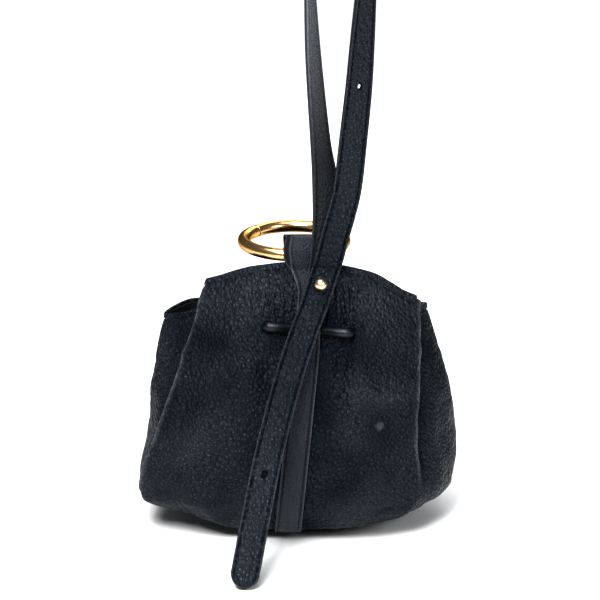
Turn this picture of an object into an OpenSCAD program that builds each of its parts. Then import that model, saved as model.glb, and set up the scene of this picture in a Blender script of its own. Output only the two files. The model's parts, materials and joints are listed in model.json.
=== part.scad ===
// Bucket bag with a drawstring, a buttoned strap and a gate ring
// Millimetres, +Z up, front towards -Y, origin on the floor under the middle of the base.

/* [Leather] */
// Thickness of the body leather
leather_t = 1.8; // [1.4:0.1:2]
// Thickness of the lining
lining_t = 0.7; // [0.5:0.1:1]
// Thickness of the base patch that the bag stands on
patch_t = 1.6; // [1.2:0.2:2]

/* [Centre strip] */
// Width of the strip over the seams
strip_w = 14; // [12:1:15]
// Thickness of the strip
strip_t = 1.3; // [1:0.1:1.4]

/* [Strap] */
// Width of the strap
strap_w = 15; // [13:1:16]
// Thickness of one strap layer
layer_t = 1.2; // [1:0.1:1.2]
// Radius of the button holes
hole_r = 1.4; // [1.35:0.05:1.5]

/* [Ring] */
// Radius of the ring's centre circle
ring_r = 27.75; // [27:0.25:28]
// Radius of the ring's tube
tube_r = 3.45; // [3.2:0.05:3.5]

/* [Lace] */
// Diameter of the drawstring lace
lace_d = 5.4; // [5:0.2:5.6]

/* [Stud] */
// Radius of the stud's ball
ball_r = 3.5; // [3:0.1:3.6]
// Radius of the stud's neck
neck_r = 1.3; // [1.1:0.05:1.3]

/* [Hidden] */
leather_tone = "#1b2230";
back_tone = "#3a3d44";
smooth_tone = "#1d2129";
black_tone = "#101216";
facing_tone = "#14181f";
gold_tone = "#d8a23c";
stud_tone = "#d9c08a";
screw_tone = "#b8a070";

// Body outline: the front seam and five folds on each side (panel, crease, valley,
// pleat, tip of the pleat) at six heights. The back mirrors the front across MIRROR_Y.
LEVELS = [0, 0.05, 0.2, 0.45, 0.7, 1];
SEAM = [[-5, -36], [-5, -50], [-3, -57], [1, -50], [5, -36], [9, -17]];
LEFT = [
    [[-24, -31], [-44, -20], [-45, -15], [-46, -10], [-46, 0]],
    [[-42, -46], [-76, -30], [-77, -24], [-76, -14], [-74, 0]],
    [[-46, -54], [-86, -36], [-87, -27], [-87, -16], [-85, 0]],
    [[-38, -49], [-75, -36], [-74, -27], [-79, -18], [-83.5, 2]],
    [[-30, -36], [-63, -26], [-61, -16], [-71, -12], [-80.5, 4]],
    [[-22, -17], [-49.5, -10], [-45, 0], [-60, 0], [-75, 9]]];
RIGHT = [
    [[16, -33], [34, -26], [37, -20], [40, -12], [42, 0]],
    [[28, -49], [54, -42], [60, -34], [67, -20], [71, 0]],
    [[34, -56], [66, -44], [71, -38], [80, -26], [87, 0]],
    [[36, -50], [65, -38], [66, -30], [78, -22], [89, 2]],
    [[38, -38], [67, -28], [65, -19], [73, -13], [82, 4]],
    [[40, -18], [67, -8], [60, 0], [66, 3], [72, 12]]];
MIRROR_Y = [0, 0, 1, 3, 5, 10];
// Height of the mouth at each of the 20 folds, from the front seam round by the right
TOP_Z = [148.4, 143, 124.5, 121, 119, 118, 117, 117, 118, 127,
         134, 129, 122, 118, 115, 113.5, 118, 127, 137.5, 146.5];
base_z = patch_t;          // underside of the leather
folds = 20;
back_seam = 10;

// Straight and curved interpolation
function lerp(a, b, t) = a + (b - a) * t;
function unit(v) = v / norm(v);
function hermite(p0, p1, m0, m1, t) =
    (2*t*t*t - 3*t*t + 1) * p0 + (t*t*t - 2*t*t + t) * m0
    + (3*t*t - 2*t*t*t) * p1 + (t*t*t - t*t) * m1;

// One fold's place at one of the six heights
function flip(p, i) = [p.x, 2 * MIRROR_Y[i] - p.y];
function fold_at(k, i) =
    k == 0 ? SEAM[i]
    : k <= 5 ? RIGHT[i][k - 1]
    : k < back_seam ? flip(RIGHT[i][9 - k], i)
    : k == back_seam ? flip(SEAM[i], i)
    : k < 15 ? flip(LEFT[i][k - 11], i)
    : LEFT[i][19 - k];
function level_of(v) = v < LEVELS[1] ? 0 : v < LEVELS[2] ? 1 : v < LEVELS[3] ? 2 : v < LEVELS[4] ? 3 : 4;
function slope(k, i) =
    let (a = max(i - 1, 0), b = min(i + 1, 5)) (fold_at(k, b) - fold_at(k, a)) / (LEVELS[b] - LEVELS[a]);
// One fold's place at any height v, from 0 at the base to 1 at the mouth
function fold_pt(k, v) =
    let (i = level_of(v), h = LEVELS[i + 1] - LEVELS[i], t = (v - LEVELS[i]) / h,
         p = hermite(fold_at(k, i), fold_at(k, i + 1), h * slope(k, i), h * slope(k, i + 1), t))
    [p.x, p.y, base_z + v * (TOP_Z[k] - base_z)];
function wrap(k) = (k % folds + folds) % folds;
// A point of the outer surface: u counts folds round the bag, v goes up
function skin(u, v) =
    let (k = floor(u), t = u - k,
         a = fold_pt(wrap(k - 1), v), b = fold_pt(wrap(k), v),
         c = fold_pt(wrap(k + 1), v), d = fold_pt(wrap(k + 2), v))
    hermite(b, c, (c - a) / 2, (d - b) / 2, t);
function skin_normal(u, v) =
    let (e = 0.02, lo = max(v - e, 0), hi = min(v + e, 1))
    unit(cross(skin(u + e, v) - skin(u - e, v), skin(u, hi) - skin(u, lo)));
// The surface moved out by d
function skin_off(u, v, d) = skin(u, v) + d * skin_normal(u, v);

// Lining outline: the same bag without its sharp creases
function loose(k, v) =
    (k == 2 || k == 18 || k == 8 || k == 12) ? (fold_pt(wrap(k - 1), v) + fold_pt(wrap(k + 1), v)) / 2
    : fold_pt(k, v);
function inner_skin(u, v) =
    let (k = floor(u), t = u - k,
         a = loose(wrap(k - 1), v), b = loose(wrap(k), v),
         c = loose(wrap(k + 1), v), d = loose(wrap(k + 2), v))
    hermite(b, c, (c - a) / 2, (d - b) / 2, t);
function inner_normal(u, v) =
    let (e = 0.05, lo = max(v - e, 0), hi = min(v + e, 1))
    unit(cross(inner_skin(u + e, v) - inner_skin(u - e, v), inner_skin(u, hi) - inner_skin(u, lo)));
function inner_off(u, v, d) = inner_skin(u, v) - d * inner_normal(u, v);

// A closed solid between two grids of points; closed joins the last column to the first
module between(outer, inner, closed = false) {
    rows = len(outer);
    cols = len(outer[0]);
    n = rows * cols;
    last = closed ? cols - 1 : cols - 2;
    function id(r, c) = r * cols + c % cols;
    points = concat([for (r = outer) each r], [for (r = inner) each r]);
    skins = [for (r = [0:rows - 2], c = [0:last])
        each [[id(r, c), id(r + 1, c), id(r + 1, c + 1)], [id(r, c), id(r + 1, c + 1), id(r, c + 1)],
              [n + id(r, c), n + id(r + 1, c + 1), n + id(r + 1, c)],
              [n + id(r, c), n + id(r, c + 1), n + id(r + 1, c + 1)]]];
    rims = [for (c = [0:last])
        each [[id(0, c), id(0, c + 1), n + id(0, c + 1)], [id(0, c), n + id(0, c + 1), n + id(0, c)],
              [id(rows - 1, c), n + id(rows - 1, c + 1), id(rows - 1, c + 1)],
              [id(rows - 1, c), n + id(rows - 1, c), n + id(rows - 1, c + 1)]]];
    sides = closed ? [] : [for (r = [0:rows - 2])
        each [[id(r, 0), n + id(r + 1, 0), id(r + 1, 0)], [id(r, 0), n + id(r, 0), n + id(r + 1, 0)],
              [id(r, cols - 1), id(r + 1, cols - 1), n + id(r + 1, cols - 1)],
              [id(r, cols - 1), n + id(r + 1, cols - 1), n + id(r, cols - 1)]]];
    polyhedron(points, concat(skins, rims, sides), convexity = 10);
}

// Body leather: two halves that meet at the seams
ROWS = [0, 0.02, 0.05, 0.1, 0.2, 0.32, 0.45, 0.58, 0.7, 0.8, 0.9, 1];
steps = 4;                 // columns between two folds
slack = 0.25;              // gap between layers that lie on each other
// The seam line under the base, for the half's innermost row
function base_line(u, z) = let (p = skin(u, 0)) [SEAM[0].x, p.y, z];
module body_half(first) {
    us = [for (i = [0:back_seam * steps]) first + i / steps];
    inner_z = base_z + leather_t;
    outer = concat([[for (u = us) base_line(u, base_z)]],
                   [for (v = ROWS) [for (u = us) skin(u, v)]]);
    inner = concat([[for (u = us) base_line(u, inner_z)]],
                   [[for (u = us) let (p = skin_off(u, 0, -leather_t)) [p.x, p.y, inner_z]]],
                   [for (i = [1:len(ROWS) - 1]) [for (u = us) skin_off(u, ROWS[i], -leather_t)]]);
    between(outer, inner);
}

// Punched lace holes, as [u, v] on the surface
HOLES_LEFT = [[19.3, 0.784], [10.85, 0.85]];
HOLES_RIGHT = [[0.72, 0.775], [9.28, 0.85]];
hole_d = lace_d + 0.8;
hole_reach = 14;           // long enough to pass leather and lining
module on_skin(u, v) {
    n = skin_normal(u, v);
    translate(skin(u, v)) rotate([0, acos(n.z), atan2(n.y, n.x)]) children();
}
module lace_holes(list) {
    for (h = list) on_skin(h[0], h[1]) cylinder(d = hole_d, h = hole_reach, center = true, $fn = 32);
}
module shell_left() {
    color(leather_tone) difference() {
        body_half(back_seam);
        lace_holes(HOLES_LEFT);
    }
}
module shell_right() {
    color(leather_tone) difference() {
        body_half(0);
        lace_holes(HOLES_RIGHT);
        at_stud() cylinder(r = neck_r + 0.2, h = hole_reach, center = true, $fn = 32);
    }
}

// Facing round the inside of the mouth
facing_t = 0.8;
module mouth_facing() {
    us = [for (i = [0:folds * steps - 1]) i / steps];
    vs = [0.92, 0.96, 1];
    deep = -leather_t - slack;
    color(facing_tone) difference() {
        between([for (v = vs) [for (u = us) skin_off(u, v, deep)]],
                [for (v = vs) [for (u = us) skin_off(u, v, deep - facing_t)]], closed = true);
        at_stud() cylinder(r = neck_r + 0.2, h = 2 * hole_reach, center = true, $fn = 32);
    }
}

// Lining: a loose bag inside, with a floor over the base board
lining_gap = 3.4;
lining_z = base_z + leather_t + 2.6;
floor_eye = 0.02;          // share of the floor's size left open at its middle
floor_edge = 0.97;         // share of the floor's size at its inner edge
module lining() {
    us = [for (i = [0:folds * 3 - 1]) i / 3];
    vs = [0.05, 0.1, 0.2, 0.32, 0.45, 0.58, 0.7, 0.8, 0.9];
    function floor_at(u, s, z) = let (p = inner_off(u, 0, lining_gap)) [p.x * s, p.y * s, z];
    outer = concat([for (s = [floor_eye, 1]) [for (u = us) floor_at(u, s, lining_z)]],
                   [for (v = vs) [for (u = us) inner_off(u, v, lining_gap)]]);
    inner = concat([for (s = [floor_eye, floor_edge]) [for (u = us) floor_at(u, s, lining_z + lining_t)]],
                   [for (v = vs) [for (u = us) inner_off(u, v, lining_gap + lining_t)]]);
    color("#2a2a2e") difference() {
        between(outer, inner, closed = true);
        lace_holes(HOLES_LEFT);
        lace_holes(HOLES_RIGHT);
    }
}

// Slip pocket hanging in front of the back of the lining
pocket_gap = 5.8;
pocket_t = 0.8;
pocket_half = 0.65;        // half its width, in folds
module slip_pocket() {
    us = [for (i = [-4:4]) back_seam + i * pocket_half / 4];
    vs = [0.36, 0.46, 0.56, 0.66, 0.74];
    color("#33333a") between([for (v = vs) [for (u = us) inner_off(u, v, pocket_gap)]],
                             [for (v = vs) [for (u = us) inner_off(u, v, pocket_gap + pocket_t)]]);
}

// Oval plate with round ends, lying flat
module oval(length, width, h) {
    r = width / 2;
    for (x = [-1, 1]) translate([x * (length / 2 - r), 0, 0]) cylinder(r = r, h = h, $fn = 96);
    translate([r - length / 2, -r, 0]) cube([length - width, width, h]);
}
patch_gap = 0.01;
module base_board() { color("#5a4a3a") translate([-2, 0, base_z + leather_t + slack]) oval(78, 56, 2); }
module base_patch() { color("#171c27") translate([-4, 0, 0]) oval(84, 64, patch_t - patch_gap); }

// Strips: a narrow band on the surface along a seam, side is 0 at the front, 10 at the back
function band_u(seam, v, s) =
    let (side = s < 0 ? -1 : 1, a = skin(seam, v), b = skin(seam + side, v)) seam + s / norm([b.x - a.x, b.y - a.y]);
ACROSS = [-1, -0.5, 0, 0.5, 1];
// Height by which a strip stands off where it passes over the lace
front_lace_z = 115;
back_lace_z = 111;
lift_reach = 6.5;          // how far above and below the lace the strip is lifted
function over_lace(z, lace_z) = (lace_d + 1.5) * exp(-pow((z - lace_z) / lift_reach, 2));
STRIP_ROWS = [0.02, 0.035, 0.05, 0.075, 0.1, 0.15, 0.2, 0.26, 0.32, 0.385, 0.45, 0.515, 0.58, 0.64, 0.7];
function on_strip(seam, lace_z, v, s, d) =
    let (u = band_u(seam, v, s * strip_w / 2), lift = over_lace(skin(seam, v).z, lace_z))
    skin_off(u, v, slack + lift + d);
// Tab that continues the front strip: [middle x, half width, y, z, way it faces as an angle]
// An angle of 0 faces forwards and 90 faces up.
TAB = [[7.8, 8.4, -22.8, 139.5, 24], [6.8, 8.7, -20.7, 144.5, 10], [5.3, 8.7, -21.1, 150, 0],
       [4.3, 8.7, -21.1, 157, 0], [3.7, 9.2, -18.4, 161.4, 45], [3.3, 9.6, -13, 163, 90],
       [3.6, 9.2, -7, 161.4, 135], [4, 8.7, -4.2, 157, 180], [4.6, 8.5, -4.2, 151, 188],
       [6, 8.3, -7, 145.4, 220], [8, 8, -12.4, 140, 230], [10, 7.6, -16.4, 131, 204]];
function tab_pt(i, s, d) =
    let (p = TAB[i]) [p[0] + s * p[1], p[2] - d * cos(p[4]), p[3] + d * sin(p[4])];
module centre_strip() {
    vs = concat(STRIP_ROWS, [0.735, 0.76, 0.785, 0.81, 0.85, 0.9]);
    function grid(d) = concat([for (v = vs) [for (s = ACROSS) on_strip(0, front_lace_z, v, s, d)]],
                              [for (i = [0:len(TAB) - 1]) [for (s = ACROSS) tab_pt(i, s, d - strip_t)]]);
    color(smooth_tone) difference() {
        between(grid(strip_t), grid(0));
        at_stud() cylinder(r = neck_r + 0.1, h = 2 * hole_reach, center = true, $fn = 32);
    }
}
module back_strip() {
    vs = concat(STRIP_ROWS, [0.75, 0.79, 0.81, 0.83, 0.86, 0.9, 0.95, 0.98]);
    function grid(d) = [for (v = vs) [for (s = ACROSS) on_strip(back_seam, back_lace_z, v, s, d)]];
    color(smooth_tone) between(grid(strip_t), grid(0));
}

// Lace: one closed loop, out through the front holes, round inside and out at the back
LACE = [[-14, -35, 117.2], [-4, -34.8, 116.8], [6, -35, 116], [16, -35.6, 115.2], [24, -36.4, 114.6],
        [28.6, -36.8, 114.4], [29.7, -33.9, 113.2], [29.5, -29.2, 111.2], [31, -22, 110.2], [34, -12, 109.8],
        [36.4, 0, 109.4], [37, 12, 109], [35.6, 22, 108.8], [33, 31, 108.8], [30.4, 38, 109],
        [30.4, 43.3, 110.3], [29, 46, 111], [25, 46.4, 111.2], [16, 46.2, 111.2], [7, 45.9, 111.2],
        [0, 46, 111.2], [-5, 47, 111.3], [-9.4, 47.7, 111.3], [-14, 46.9, 111.3], [-19.4, 45.2, 111.4],
        [-21.1, 41.8, 110.7], [-20.8, 36.6, 109.4], [-23, 29, 109.4], [-25.6, 20, 109.8], [-27, 10, 110.2],
        [-26.6, -1, 110.8], [-24, -12, 111.6], [-20, -21, 112.6], [-17.8, -26.8, 114.2],
        [-17.8, -31.9, 116.2], [-16.9, -34.6, 117.3]];
function loop_pt(list, i) = list[(i + len(list)) % len(list)];
function round_pt(list, i, t) =
    let (a = loop_pt(list, i - 1), b = loop_pt(list, i), c = loop_pt(list, i + 1), d = loop_pt(list, i + 2))
    hermite(b, c, (c - a) / 2, (d - b) / 2, t);
module lace() {
    route = [for (i = [0:len(LACE) - 1], t = [0, 0.5]) round_pt(LACE, i, t)];
    sides = 10;
    count = len(route);
    function ring_at(i) =
        let (way = unit(loop_pt(route, i + 1) - loop_pt(route, i - 1)), out = unit(cross(way, [0, 0, 1])),
             up = cross(out, way))
        [for (s = [0:sides - 1]) route[i] + lace_d / 2 * (cos(s * 360 / sides) * out + sin(s * 360 / sides) * up)];
    function id(i, s) = (i % count) * sides + s % sides;
    color(black_tone) polyhedron(
        [for (i = [0:count - 1]) each ring_at(i)],
        [for (i = [0:count - 1], s = [0:sides - 1])
            each [[id(i, s), id(i + 1, s), id(i + 1, s + 1)], [id(i, s), id(i + 1, s + 1), id(i, s + 1)]]],
        convexity = 8);
}
knot_at = [-9.4, 47.6, 111.3];
knot_r = 4.6;
knot_l = 8;
module lace_knot() {
    color(black_tone) translate(knot_at) rotate([0, 90, 0]) difference() {
        intersection() {
            cylinder(r = knot_r, h = knot_l, center = true, $fn = 48);
            sphere(r = knot_r + 0.8, $fn = 48);
        }
        cylinder(d = lace_d + 1.2, h = 20, center = true, $fn = 48);
    }
}
hole_patch_r = 6.5;
hole_patch_depth = 7.4;    // from the leather's surface to the patch's far face
module hole_patches() {
    color(facing_tone) for (h = concat(HOLES_LEFT, HOLES_RIGHT))
        on_skin(h[0], h[1]) translate([0, 0, -hole_patch_depth]) difference() {
            cylinder(r = hole_patch_r, h = 1, $fn = 48);
            translate([0, 0, -1]) cylinder(d = hole_d + 2.4, h = 3, $fn = 48);
        }
}

// Stud that buttons the strap through the tab and the front leather
stud_tilt = 25;            // how far the stud points up
strap_lean = 18;           // how far the strap leans to the right going up
end_lean = 8;              // the same for its buttoned end
end_z = 2.2;               // underside of the strap's buttoned end, above the leather
strap_z = end_z + 2 * layer_t + 0.2;
ball_z = strap_z + 2 * layer_t + 0.4 + ball_r * 0.9;
module at_stud() { translate(skin(0.15, 0.915)) rotate([90 - stud_tilt, 0, 0]) children(); }
screw_r = 0.7;
screw_reach = 8.4;
head_r = 2.6;
head_t = 0.9;
washer_r = 4.5;
washer_t = 0.8;
stud_depth = 8.4;          // from the leather surface to the inner end of the neck
module stud() {
    color(stud_tone) at_stud() difference() {
        union() {
            translate([0, 0, ball_z]) sphere(r = ball_r, $fn = 64);
            translate([0, 0, -stud_depth]) cylinder(r = neck_r, h = ball_z + stud_depth, $fn = 48);
        }
        translate([0, 0, -stud_depth - 1]) cylinder(r = screw_r, h = 9, $fn = 32);
    }
}
module stud_washer() {
    color(screw_tone) at_stud() translate([0, 0, -stud_depth - washer_t - 0.1]) difference() {
        cylinder(r = washer_r, h = washer_t, $fn = 48);
        translate([0, 0, -1]) cylinder(r = screw_r + 0.1, h = 3, $fn = 32);
    }
}
module stud_screw() {
    color(screw_tone) at_stud() difference() {
        union() {
            translate([0, 0, -stud_depth - 1.9]) cylinder(r = head_r, h = head_t, $fn = 48);
            translate([0, 0, -stud_depth - 1.2]) cylinder(r = screw_r - 0.02, h = screw_reach, $fn = 32);
        }
        translate([-2.1, -0.3, -stud_depth - 2.3]) cube([4.2, 0.6, 0.9]);
    }
}

// Strap at the stud: flat pieces with a button hole
plate_up = 7;
plate_down = 9;
module strap_plate(z, h, lean) {
    at_stud() rotate([0, 0, -lean]) difference() {
        translate([-strap_w / 2, -plate_down, z]) cube([strap_w, plate_up + plate_down, h]);
        translate([0, 0, z - 1]) cylinder(r = hole_r, h = h + 2, $fn = 48);
    }
}
module strap_stud_outer() { color(leather_tone) strap_plate(strap_z + layer_t, layer_t, strap_lean); }
module strap_stud_inner() { color(back_tone) strap_plate(strap_z, layer_t, strap_lean); }
module strap_end() { color(back_tone) strap_plate(end_z, 2 * layer_t, end_lean); }

// Upper loop of the strap, from the stud up the front run, over the top and down the rear run:
// [x, y, z, turn], where a turn of 0 faces the front and 90 is edge-on
LOOP = [[15.4, -25, 146.4, 0], [16.8, -26, 151, 0], [18.4, -26.8, 157, 0], [20.6, -26.8, 166, 0],
        [24.2, -26.4, 179, 2], [27.2, -25.8, 193, 5], [30, -24.8, 219, 14], [32.7, -24.2, 246, 25],
        [35, -23.8, 280, 41], [36.6, -23.5, 304, 54], [38, -23.4, 326, 74], [38, -23.4, 346, 90],
        [33.3, -23.4, 357.3, 90], [22, -23.4, 362, 90], [10.7, -23.4, 357.3, 90], [6, -23.4, 346, 90],
        [6, -23.4, 326, 84], [6.6, -23.4, 302, 76], [8.6, -23.2, 262, 64], [12.4, -22.8, 217, 52],
        [14.6, -23, 198, 36], [15.8, -23.6, 178, 18], [15.6, -24, 166, 6], [14.8, -24, 155, 0],
        [14.3, -23.5, 150.2, 0], [13.8, -22.4, 146.2, 0]];
// Hanging tail, from its tip on the floor up to the stud
TAIL = [[-27.7, -119.6, 1.8, 0], [-26.4, -115, 8.6, 0], [-22, -101, 29, 0], [-15.6, -82, 57, 0],
        [-9.4, -67.4, 79, 0], [-2.6, -53.4, 100, 0], [3.6, -43.6, 116.4, 0], [6.9, -37.4, 123.4, 0],
        [9.5, -32.2, 129.3, 0]];
function open_pt(list, i, t) =
    let (n = len(list) - 1, a = list[max(i - 1, 0)], b = list[i], c = list[min(i + 1, n)], d = list[min(i + 2, n)])
    hermite(b, c, (c - a) / 2, (d - b) / 2, t);
function place(p) = [p.x, p.y, p.z];
// Stations along a route: [place, way across, way it faces]
function stations(list) =
    let (pts = concat([for (i = [0:len(list) - 2], j = [0:cuts - 1]) open_pt(list, i, j / cuts)],
                      [list[len(list) - 1]]),
         n = len(pts) - 1)
    [for (i = [0:n])
        let (way = unit(place(pts[min(i + 1, n)]) - place(pts[max(i - 1, 0)])), turn = pts[i][3],
             flat = [cos(turn), sin(turn), 0], across = unit(flat - (flat * way) * way))
        [place(pts[i]), across, cross(across, way)]];
module strap_layer(list, low, high) {
    st = stations(list);
    function edge(s, d) = [for (k = [-1, 1]) s[0] + k * strap_w / 2 * s[1] + d * s[2]];
    between([for (s = st) edge(s, high)], [for (s = st) edge(s, low)]);
}
// Button hole through the strap at one station of a route
module button_hole(list, i) {
    s = stations(list)[i];
    translate(s[0]) rotate([0, acos(s[2].z), atan2(s[2].y, s[2].x)])
        cylinder(r = hole_r, h = 8, center = true, $fn = 32);
}
cuts = 3;                  // stations from one place on a route to the next
loop_hole = 22;            // stations up the loop to its spare button hole
tail_hole = 8;             // stations up the tail to its spare button hole
module loop_layer(low, high) {
    difference() {
        strap_layer(LOOP, low, high);
        button_hole(LOOP, loop_hole);
    }
}
module strap_loop_outer() { color(leather_tone) loop_layer(0, layer_t); }
module strap_loop_inner() { color(back_tone) loop_layer(-layer_t, 0); }
// The tail's end is round
module tail_layer(low, high) {
    st = stations(TAIL);
    r = strap_w / 2;
    tip = st[0][0];
    reach = [for (s = st) norm(s[0] - tip)];
    round_end = [for (a = [5, 25, 45, 65]) let (along = r * (1 - cos(a)), p = tip + unit(st[1][0] - tip) * along)
        [p, st[0][1], st[0][2], r * sin(a)]];
    rest = [for (i = [0:len(st) - 1]) if (reach[i] > r * 0.75) [st[i][0], st[i][1], st[i][2], r]];
    all = concat(round_end, rest);
    function edge(s, d) = [for (k = [-1, 1]) s[0] + k * s[3] * s[1] + d * s[2]];
    difference() {
        between([for (s = all) edge(s, high)], [for (s = all) edge(s, low)]);
        button_hole(TAIL, tail_hole);
    }
}
module strap_tail_outer() { color(leather_tone) tail_layer(0, layer_t); }
module strap_tail_inner() { color(back_tone) tail_layer(-layer_t, 0); }

// Ring with a sprung gate at the back
ring_at = [-1.6, 12, 152.4];
gate_angle = 39;           // hinge's place round the ring, from +X
hinge = ring_r * [cos(gate_angle), sin(gate_angle)];
gate_x = -21.6;            // plane where the gate's free end meets the ring
lap = 1.8;                 // length of the lip that stops the gate
ear_r = 3.3;
turn_gap = 0.35;
tongue_h = 1.1;
pin_r = 0.8;
zone_h = 10;               // taller than the ring's tube
module tube_ring() { rotate_extrude($fn = 128) translate([ring_r, 0]) circle(r = tube_r, $fn = 40); }
module at_hinge() { translate([hinge.x, hinge.y, 0]) children(); }
// Space between the gate's free end and its hinge
module gate_zone(from) {
    far = 45 * [cos(gate_angle), sin(gate_angle)];
    translate([0, 0, -zone_h / 2]) linear_extrude(zone_h) polygon([[0, 0], far, [from, 40], [from, 0]]);
}
module lap_zone(from, to) { translate([from, 0, -zone_h / 2]) cube([to - from, 40, zone_h]); }
module ring() {
    color(gold_tone) translate(ring_at) difference() {
        union() {
            difference() { tube_ring(); gate_zone(gate_x); }
            intersection() { tube_ring(); at_hinge() cylinder(r = ear_r, h = zone_h, center = true, $fn = 48); }
            difference() {
                intersection() { tube_ring(); lap_zone(gate_x - 0.5, gate_x + lap); }
                translate([0, 0, -6]) cylinder(r = ring_r + 0.15, h = 12, $fn = 128);
            }
        }
        at_hinge() cylinder(r = ear_r + turn_gap, h = 2 * tongue_h + 0.3, center = true, $fn = 48);
        at_hinge() cylinder(r = pin_r, h = zone_h, center = true, $fn = 32);
    }
}
module ring_gate() {
    color(gold_tone) translate(ring_at) difference() {
        union() {
            difference() {
                intersection() { tube_ring(); gate_zone(gate_x + 0.15); }
                at_hinge() cylinder(r = ear_r + turn_gap, h = zone_h, center = true, $fn = 48);
            }
            intersection() {
                tube_ring();
                at_hinge() rotate([0, 0, gate_angle]) translate([0, 0, -tongue_h]) union() {
                    cylinder(r = ear_r, h = tongue_h, $fn = 48);
                    translate([-2, 0, 0]) cube([4, ear_r + 1.5, tongue_h]);
                }
            }
        }
        difference() {
            lap_zone(gate_x - 1, gate_x + lap + 0.5);
            translate([0, 0, -6]) cylinder(r = ring_r, h = 12, $fn = 128);
        }
        at_hinge() cylinder(r = pin_r + 0.05, h = zone_h, center = true, $fn = 32);
    }
}
pin_l = 6.6;
module gate_pin() {
    color(gold_tone) translate(ring_at) at_hinge() cylinder(r = pin_r, h = pin_l, center = true, $fn = 32);
}
module gate_spring() {
    color("#9a9a9a") translate(ring_at) at_hinge() translate([0, 0, 0.1]) difference() {
        cylinder(r = 2.3, h = 1, $fn = 32);
        translate([0, 0, -1]) cylinder(r = pin_r + 0.2, h = 3, $fn = 32);
    }
}

shell_left();
shell_right();
centre_strip();
back_strip();
mouth_facing();
lining();
slip_pocket();
base_board();
base_patch();
lace();
lace_knot();
hole_patches();
stud();
stud_washer();
stud_screw();
strap_stud_outer();
strap_stud_inner();
strap_end();
strap_loop_outer();
strap_loop_inner();
strap_tail_outer();
strap_tail_inner();
ring();
ring_gate();
gate_pin();
gate_spring();
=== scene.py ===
import json
import math

import bpy
import numpy as np
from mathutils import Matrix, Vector, noise


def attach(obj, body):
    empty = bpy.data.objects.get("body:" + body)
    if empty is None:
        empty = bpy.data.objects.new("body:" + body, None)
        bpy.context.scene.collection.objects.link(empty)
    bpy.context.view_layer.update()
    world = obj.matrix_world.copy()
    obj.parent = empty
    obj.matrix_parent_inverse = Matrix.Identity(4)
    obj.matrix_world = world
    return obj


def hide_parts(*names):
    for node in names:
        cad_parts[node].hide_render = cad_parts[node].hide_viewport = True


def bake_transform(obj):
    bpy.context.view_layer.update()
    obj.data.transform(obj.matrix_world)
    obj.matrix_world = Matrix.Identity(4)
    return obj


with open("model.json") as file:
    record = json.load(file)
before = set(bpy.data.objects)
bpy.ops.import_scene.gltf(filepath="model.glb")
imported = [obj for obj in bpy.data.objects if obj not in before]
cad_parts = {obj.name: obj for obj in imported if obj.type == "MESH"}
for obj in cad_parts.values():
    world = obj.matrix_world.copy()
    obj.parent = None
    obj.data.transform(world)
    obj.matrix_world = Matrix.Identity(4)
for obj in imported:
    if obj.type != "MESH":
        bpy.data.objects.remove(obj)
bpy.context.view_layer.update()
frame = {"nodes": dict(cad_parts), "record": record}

MM = 0.001
joints = {j["name"]: j for j in frame["record"]["behaviour"]["joints"]}

# ---------------------------------------------------------------- body outline
# The front seam and five folds on each side (panel, crease, valley, pleat, tip of the
# pleat) at six heights, in millimetres. The back mirrors the front across MIRROR_Y.
LEVELS = np.array([0, 0.05, 0.2, 0.45, 0.7, 1])
SEAM = [[-5, -36], [-5, -50], [-3, -57], [1, -50], [5, -36], [9, -17]]
LEFT = [
    [[-24, -31], [-44, -20], [-45, -15], [-46, -10], [-46, 0]],
    [[-42, -46], [-76, -30], [-77, -24], [-76, -14], [-74, 0]],
    [[-46, -54], [-86, -36], [-87, -27], [-87, -16], [-85, 0]],
    [[-38, -49], [-75, -36], [-74, -27], [-79, -18], [-83.5, 2]],
    [[-30, -36], [-63, -26], [-61, -16], [-71, -12], [-80.5, 4]],
    [[-22, -17], [-49.5, -10], [-45, 0], [-60, 0], [-75, 9]]]
RIGHT = [
    [[16, -33], [34, -26], [37, -20], [40, -12], [42, 0]],
    [[28, -49], [55, -42], [62, -34], [70, -20], [75, 0]],
    [[34, -56], [66, -44], [71, -38], [80, -26], [87, 0]],
    [[36, -50], [65, -38], [66, -30], [78, -22], [89, 2]],
    [[38, -38], [67, -28], [65, -19], [73, -13], [82, 4]],
    [[40, -18], [67, -8], [60, 0], [66, 3], [72, 12]]]
MIRROR_Y = [0, 0, 1, 3, 5, 10]
TOP_Z = np.array([148.4, 143, 124.5, 121, 119, 118, 117, 117, 118, 127,
                  134, 129, 122, 119, 118, 113.2, 116.5, 126, 137.5, 146.5])
FOLDS = 20
BACK_SEAM = 10
CREASES = (2, 8, 12, 18)
BASE_Z = 1.6
LEATHER = 1.8


def fold_table():
    """The folds' places at the six heights, as an array of height, fold, (x, y)."""
    table = np.zeros((6, FOLDS, 2))
    for i in range(6):
        front = [SEAM[i]] + RIGHT[i]
        flipped = [[x, 2 * MIRROR_Y[i] - y] for x, y in RIGHT[i][3::-1] + [SEAM[i]] + LEFT[i][:4]]
        table[i] = front + flipped + [LEFT[i][4]] + LEFT[i][3::-1]
    return table


TABLE = fold_table()


def ease(x, low, high):
    """Rises smoothly from 0 at low to 1 at high."""
    t = np.clip((x - low) / (high - low), 0, 1)
    return t * t * (3 - 2 * t)


def hermite(p0, p1, m0, m1, t):
    """The cubic from p0 to p1 with slopes m0 and m1, at t from 0 to 1."""
    return ((2 * t**3 - 3 * t**2 + 1) * p0 + (t**3 - 2 * t**2 + t) * m0
            + (3 * t**2 - 2 * t**3) * p1 + (t**3 - t**2) * m1)


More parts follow.
